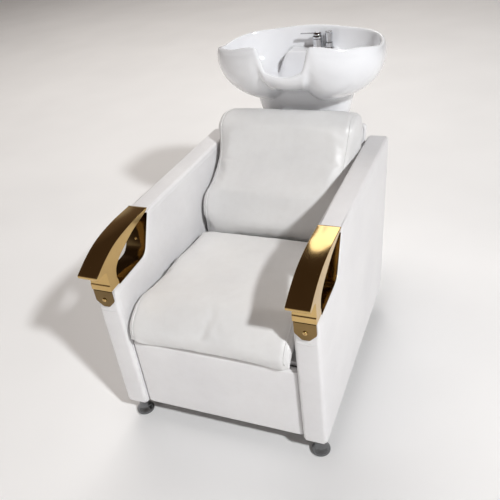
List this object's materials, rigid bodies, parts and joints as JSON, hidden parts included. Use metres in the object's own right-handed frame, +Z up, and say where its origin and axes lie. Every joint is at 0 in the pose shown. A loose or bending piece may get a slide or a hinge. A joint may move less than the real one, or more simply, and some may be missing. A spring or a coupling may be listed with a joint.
{
  "type": "shampoo backwash unit",
  "caption": "Upholstered backwash chair with padded seat and back, gold loop armrests and a tilting ceramic shampoo basin with mixer tap behind the headrest.",
  "frame": {"origin": "on the floor under the middle of the unit's box", "axes": "+Y from the seat's front edge towards the basin, +X to the sitting client's left, +Z up"},
  "size_m": [0.66, 1.2422, 0.957],
  "materials": {
    "white_leather": "satin",
    "cushion_leather": "satin",
    "plywood": "matte",
    "gold_plated": "polished",
    "gold_plate": "polished",
    "chrome": "polished",
    "black_steel": "satin",
    "white_shell": "gloss",
    "black_rubber": "matte",
    "white_plumbing": "matte",
    "braided_hose": "satin",
    "white_ceramic": "gloss"
  },
  "bodies": {
    "chair": {"side_cover_left": "white_leather", "side_core_left": "plywood", "armrest_left": "gold_plated", "armrest_bracket_left": "gold_plate", "armrest_rear_liner_left": "gold_plate", "armrest_lower_liner_left": "gold_plate", "bracket_screw_left": "gold_plate", "foot_front_left": "chrome", "foot_rear_left": "chrome", "side_cover_right": "white_leather", "side_core_right": "plywood", "armrest_right": "gold_plated", "armrest_bracket_right": "gold_plate", "armrest_rear_liner_right": "gold_plate", "armrest_lower_liner_right": "gold_plate", "bracket_screw_right": "gold_plate", "foot_front_right": "chrome", "foot_rear_right": "chrome", "seat_cushion": "cushion_leather", "seat_board": "plywood", "backrest_cushion": "cushion_leather", "backrest_board": "plywood", "front_panel": "white_leather", "rear_panel": "white_leather", "seat_crossmember_front": "black_steel", "seat_crossmember_rear": "black_steel", "base_crossmember_front": "black_steel", "base_crossmember_rear": "black_steel", "floor_plate": "black_steel", "basin_post": "black_steel", "post_head": "black_steel", "tilt_pin": "chrome", "tie_bar": "black_steel", "column_cover": "white_shell", "column_collar": "black_rubber", "waste_hopper": "white_plumbing", "bottle_trap": "white_plumbing", "waste_outlet": "white_plumbing", "supply_valve_hot": "chrome", "hose_lower_hot": "braided_hose", "supply_valve_cold": "chrome", "hose_lower_cold": "braided_hose"},
    "basin_head": {"basin": "white_ceramic", "tilt_bracket": "black_steel", "basin_pad": "black_rubber", "drain_flange": "chrome", "waste_tail": "chrome", "mixer_body": "chrome", "shower_holder": "chrome", "hose_upper_hot": "braided_hose", "hose_upper_cold": "braided_hose"},
    "swivel": {"mixer_swivel": "chrome"},
    "lever": {"mixer_lever": "chrome"},
    "shower": {"hand_shower": "chrome"},
    "strainer": {"drain_strainer": "chrome"}
  },
  "joints": [
    {"name": "basin_tilt", "type": "hinge", "parent": "chair", "child": "basin_head", "pos_m": [0, 0.38511, 0.69], "axis": [1, 0, 0], "range_deg": [-6, 3]},
    {"name": "mixer_swing", "type": "hinge", "parent": "basin_head", "child": "swivel", "pos_m": [0.021, 0.56711, 0.89], "axis": [0, 0, 1], "range_deg": [-8, 60]},
    {"name": "lever_lift", "type": "hinge", "parent": "swivel", "child": "lever", "pos_m": [0.037, 0.56711, 0.9014], "axis": [0, 1, 0], "range_deg": [0, 22]},
    {"name": "shower_pull", "type": "slide", "parent": "basin_head", "child": "shower", "axis": [0, 0, 1], "range_m": [0, 0.14]},
    {"name": "strainer_lift", "type": "slide", "parent": "basin_head", "child": "strainer", "axis": [0, 0, 1], "range_m": [0, 0.04]}
  ]
}
